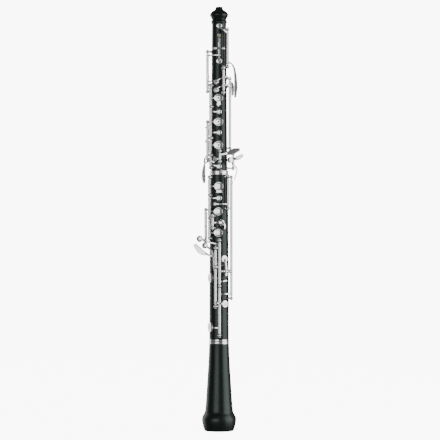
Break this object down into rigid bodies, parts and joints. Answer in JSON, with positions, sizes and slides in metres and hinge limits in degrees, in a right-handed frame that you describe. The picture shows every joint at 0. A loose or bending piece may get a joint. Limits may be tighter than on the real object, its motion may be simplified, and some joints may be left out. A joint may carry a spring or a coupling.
{
  "type": "oboe",
  "caption": "Blackwood oboe in three joints with silvered hinged keywork, ball-headed posts, metal rings, tenon corks and a flared bell.",
  "frame": {"origin": "on the bore axis at the plane of the bell rim, where a stand peg holds the instrument", "axes": "+Z along the bore from the bell to the reed socket, -Y to the front where the tone holes face, +X to the right as seen from the front"},
  "size_m": [0.0702, 0.0515, 0.59],
  "materials": {
    "wood": "oiled black wood, fine straight grain, soft gloss",
    "key_metal": "polished silver plate",
    "hinge_metal": "silver plated posts with steel hinge rods",
    "ring_metal": "polished silver plated ring",
    "vent_metal": "bare nickel silver insert",
    "cork": "natural cork, waxed",
    "pad": "pale skin pad",
    "spring_steel": "blued needle spring"
  },
  "bodies": {
    "bell_body": {"bell": "wood", "bell_ring": "ring_metal"},
    "lower_body": {"bell_tenon_cork": "cork", "e_flat_posts": "hinge_metal", "f_key_posts": "hinge_metal", "forked_f_posts": "hinge_metal", "left_f_posts": "hinge_metal", "lower_joint": "wood", "lower_joint_ring": "ring_metal", "lower_stack_posts": "hinge_metal", "middle_ring": "ring_metal", "right_rod_posts": "hinge_metal", "rod_a_posts": "hinge_metal", "rod_b_posts": "hinge_metal", "thumb_rest": "key_metal"},
    "upper_body": {"g_sharp_posts": "hinge_metal", "left_pinky_posts": "hinge_metal", "lower_trill_posts": "hinge_metal", "reed_well_liner": "ring_metal", "side_key_posts": "hinge_metal", "side_octave_posts": "hinge_metal", "thumb_octave_posts": "hinge_metal", "thumb_octave_vent": "vent_metal", "trill_lever_posts": "hinge_metal", "trill_link_posts": "hinge_metal", "trill_vent": "vent_metal", "upper_joint": "wood", "upper_stack_posts": "hinge_metal", "upper_tenon_cork": "cork", "upper_trill_posts": "hinge_metal"},
    "a_key": {"a_key": "key_metal"},
    "b_flat_key": {"b_flat_key": "key_metal"},
    "bridge_key": {"bridge_key": "key_metal"},
    "c_key": {"c_key": "key_metal"},
    "c_sharp_key": {"c_sharp_key": "key_metal"},
    "d_key": {"d_key": "key_metal"},
    "e_flat_key": {"e_flat_key": "key_metal"},
    "e_key": {"e_key": "key_metal"},
    "f_key": {"f_key": "key_metal"},
    "f_sharp_key": {"f_sharp_key": "key_metal"},
    "f_sharp_vent_key": {"f_sharp_vent_key": "key_metal"},
    "forked_f_vent_key": {"forked_f_vent_key": "key_metal"},
    "g_key": {"g_key": "key_metal"},
    "g_sharp_key": {"g_sharp_key": "key_metal"},
    "half_hole_key": {"half_hole_key": "key_metal"},
    "left_b_lever": {"left_b_lever": "key_metal"},
    "left_e_flat_lever": {"left_e_flat_lever": "key_metal"},
    "left_f_lever": {"left_f_lever": "key_metal"},
    "low_b_key": {"low_b_key": "key_metal"},
    "low_c_key": {"low_c_key": "key_metal"},
    "lower_trill_key": {"lower_trill_key": "key_metal"},
    "right_e_flat_lever": {"right_e_flat_lever": "key_metal"},
    "right_link": {"right_link": "key_metal"},
    "side_b_flat_key": {"side_b_flat_key": "key_metal"},
    "side_c_key": {"side_c_key": "key_metal"},
    "side_octave_key": {"side_octave_key": "key_metal"},
    "thumb_octave_key": {"thumb_octave_key": "key_metal"},
    "trill_lever": {"trill_lever": "key_metal"},
    "trill_link": {"trill_link": "key_metal"},
    "upper_trill_key": {"upper_trill_key": "key_metal"}
  },
  "joints": [
    {"name": "bell_pull", "type": "slide", "parent": "bell_body", "child": "lower_body", "axis": [0, 0, 1], "range_m": [0, 0.0225]},
    {"name": "middle_pull", "type": "slide", "parent": "lower_body", "child": "upper_body", "axis": [0, 0, 1], "range_m": [0, 0.0225]},
    {"name": "a_key_hinge", "type": "hinge", "parent": "upper_body", "child": "a_key", "pos_m": [-0.01205, -0.00975, 0.4289], "axis": [0, 0, 1], "range_deg": [0, 6], "stiffness_Nm_per_rad": 0.03, "springref_deg": -9.74},
    {"name": "b_flat_key_hinge", "type": "hinge", "parent": "upper_body", "child": "b_flat_key", "pos_m": [-0.01205, -0.00975, 0.4157], "axis": [0, 0, 1], "range_deg": [0, 6]},
    {"name": "bridge_key_hinge", "type": "hinge", "parent": "upper_body", "child": "bridge_key", "pos_m": [-0.01205, -0.00975, 0.37475], "axis": [0, 0, 1], "range_deg": [0, 6]},
    {"name": "c_key_hinge", "type": "hinge", "parent": "upper_body", "child": "c_key", "pos_m": [-0.01205, -0.00975, 0.4421], "axis": [0, 0, 1], "range_deg": [0, 6]},
    {"name": "c_sharp_key_hinge", "type": "hinge", "parent": "lower_body", "child": "c_sharp_key", "pos_m": [-0.00484, -0.01744, 0.2008], "axis": [0, 0, 1], "range_deg": [-4, 0], "stiffness_Nm_per_rad": 0.03, "springref_deg": 9.74},
    {"name": "d_key_hinge", "type": "hinge", "parent": "lower_body", "child": "d_key", "pos_m": [-0.01355, -0.01059, 0.282], "axis": [0, 0, 1], "range_deg": [0, 6], "stiffness_Nm_per_rad": 0.03, "springref_deg": -9.74},
    {"name": "e_flat_key_hinge", "type": "hinge", "parent": "lower_body", "child": "e_flat_key", "pos_m": [0.01012, -0.01501, 0.2223], "axis": [0.829, 0.5592, 0], "range_deg": [0, 4], "stiffness_Nm_per_rad": 0.03, "springref_deg": -9.74},
    {"name": "e_key_hinge", "type": "hinge", "parent": "lower_body", "child": "e_key", "pos_m": [-0.01355, -0.01059, 0.30745], "axis": [0, 0, 1], "range_deg": [0, 6], "stiffness_Nm_per_rad": 0.03, "springref_deg": -9.74},
    {"name": "f_key_hinge", "type": "hinge", "parent": "lower_body", "child": "f_key", "pos_m": [-0.00907, -0.01509, 0.2906], "axis": [0, 0, 1], "range_deg": [-5, 0], "stiffness_Nm_per_rad": 0.03, "springref_deg": 9.74},
    {"name": "f_sharp_key_hinge", "type": "hinge", "parent": "lower_body", "child": "f_sharp_key", "pos_m": [-0.01355, -0.01059, 0.3402], "axis": [0, 0, 1], "range_deg": [0, 6], "stiffness_Nm_per_rad": 0.03, "springref_deg": -9.74},
    {"name": "f_sharp_vent_key_hinge", "type": "hinge", "parent": "lower_body", "child": "f_sharp_vent_key", "pos_m": [-0.01355, -0.01059, 0.32065], "axis": [0, 0, 1], "range_deg": [0, 6]},
    {"name": "forked_f_vent_key_hinge", "type": "hinge", "parent": "lower_body", "child": "forked_f_vent_key", "pos_m": [0.01258, -0.01173, 0.3316], "axis": [0, 0, 1], "range_deg": [-6, 0], "stiffness_Nm_per_rad": 0.03, "springref_deg": 9.74},
    {"name": "g_key_hinge", "type": "hinge", "parent": "upper_body", "child": "g_key", "pos_m": [-0.01205, -0.00975, 0.39515], "axis": [0, 0, 1], "range_deg": [0, 6], "stiffness_Nm_per_rad": 0.03, "springref_deg": -9.74},
    {"name": "g_sharp_key_hinge", "type": "hinge", "parent": "upper_body", "child": "g_sharp_key", "pos_m": [0.00112, -0.01606, 0.3817], "axis": [0, 0, 1], "range_deg": [0, 5], "stiffness_Nm_per_rad": 0.03, "springref_deg": -9.74},
    {"name": "half_hole_key_hinge", "type": "hinge", "parent": "upper_body", "child": "half_hole_key", "pos_m": [-0.01205, -0.00975, 0.46545], "axis": [0, 0, 1], "range_deg": [0, 6], "stiffness_Nm_per_rad": 0.03, "springref_deg": -9.74},
    {"name": "left_b_lever_hinge", "type": "hinge", "parent": "upper_body", "child": "left_b_lever", "pos_m": [0.0196, -0.00599, 0.37145], "axis": [0, 0, 1], "range_deg": [-5, 0]},
    {"name": "left_e_flat_lever_hinge", "type": "hinge", "parent": "upper_body", "child": "left_e_flat_lever", "pos_m": [0.0196, -0.00599, 0.37855], "axis": [0, 0, 1], "range_deg": [0, 5]},
    {"name": "left_f_lever_hinge", "type": "hinge", "parent": "lower_body", "child": "left_f_lever", "pos_m": [-0.01851, -0.00327, 0.2853], "axis": [0, 0, 1], "range_deg": [-5, 0]},
    {"name": "low_b_key_hinge", "type": "hinge", "parent": "lower_body", "child": "low_b_key", "pos_m": [0.00063, -0.01809, 0.16755], "axis": [0, 0, 1], "range_deg": [-4, 0], "stiffness_Nm_per_rad": 0.03, "springref_deg": 9.74},
    {"name": "low_c_key_hinge", "type": "hinge", "parent": "lower_body", "child": "low_c_key", "pos_m": [0.00063, -0.01809, 0.23355], "axis": [0, 0, 1], "range_deg": [-4, 0], "stiffness_Nm_per_rad": 0.03, "springref_deg": 9.74},
    {"name": "lower_trill_key_hinge", "type": "hinge", "parent": "upper_body", "child": "lower_trill_key", "pos_m": [0, -0.015, 0.5311], "axis": [1, 0, 0], "range_deg": [-6, 0], "stiffness_Nm_per_rad": 0.03, "springref_deg": 9.74},
    {"name": "right_e_flat_lever_hinge", "type": "hinge", "parent": "lower_body", "child": "right_e_flat_lever", "pos_m": [-0.00484, -0.01744, 0.2412], "axis": [0, 0, 1], "range_deg": [-4, 0]},
    {"name": "right_link_hinge", "type": "hinge", "parent": "lower_body", "child": "right_link", "pos_m": [0.01711, -0.00589, 0.2686], "axis": [0, 0, 1], "range_deg": [0, 4]},
    {"name": "side_b_flat_key_hinge", "type": "hinge", "parent": "upper_body", "child": "side_b_flat_key", "pos_m": [0.0063, -0.01416, 0.4807], "axis": [0, 0, 1], "range_deg": [0, 6], "stiffness_Nm_per_rad": 0.03, "springref_deg": -9.74},
    {"name": "side_c_key_hinge", "type": "hinge", "parent": "upper_body", "child": "side_c_key", "pos_m": [0.0063, -0.01416, 0.4948], "axis": [0, 0, 1], "range_deg": [0, 6], "stiffness_Nm_per_rad": 0.03, "springref_deg": -9.74},
    {"name": "side_octave_key_hinge", "type": "hinge", "parent": "upper_body", "child": "side_octave_key", "pos_m": [0.01511, -0.00611, 0.4413], "axis": [0, 0, 1], "range_deg": [-6, 0], "stiffness_Nm_per_rad": 0.03, "springref_deg": 9.74},
    {"name": "thumb_octave_key_hinge", "type": "hinge", "parent": "upper_body", "child": "thumb_octave_key", "pos_m": [0, 0.0146, 0.48], "axis": [-1, 0, 0], "range_deg": [0, 5], "stiffness_Nm_per_rad": 0.03, "springref_deg": -9.74},
    {"name": "trill_lever_hinge", "type": "hinge", "parent": "upper_body", "child": "trill_lever", "pos_m": [-0.01605, -0.00283, 0.4038], "axis": [0, 0, 1], "range_deg": [-5, 0]},
    {"name": "trill_link_hinge", "type": "hinge", "parent": "upper_body", "child": "trill_link", "pos_m": [-0.01608, -0.00371, 0.4996], "axis": [0, 0, 1], "range_deg": [-4, 0]},
    {"name": "upper_trill_key_hinge", "type": "hinge", "parent": "upper_body", "child": "upper_trill_key", "pos_m": [0.01187, -0.00996, 0.5316], "axis": [0, 0, 1], "range_deg": [0, 6], "stiffness_Nm_per_rad": 0.03, "springref_deg": -9.74}
  ],
  "couplings": [
    {"joint": "c_key_hinge", "follows": "a_key_hinge", "ratio": 1},
    {"joint": "b_flat_key_hinge", "follows": "g_key_hinge", "ratio": 1},
    {"joint": "f_sharp_vent_key_hinge", "follows": "e_key_hinge", "ratio": 1},
    {"joint": "bridge_key_hinge", "follows": "f_sharp_key_hinge", "ratio": 1},
    {"joint": "trill_link_hinge", "follows": "lower_trill_key_hinge", "ratio": 0.66},
    {"joint": "trill_lever_hinge", "follows": "g_sharp_key_hinge", "ratio": -1},
    {"joint": "left_f_lever_hinge", "follows": "f_key_hinge", "ratio": 1},
    {"joint": "left_b_lever_hinge", "follows": "low_b_key_hinge", "ratio": 1},
    {"joint": "right_link_hinge", "follows": "low_b_key_hinge", "ratio": -1},
    {"joint": "right_e_flat_lever_hinge", "follows": "e_flat_key_hinge", "ratio": -1},
    {"joint": "left_e_flat_lever_hinge", "follows": "e_flat_key_hinge", "ratio": 1}
  ]
}
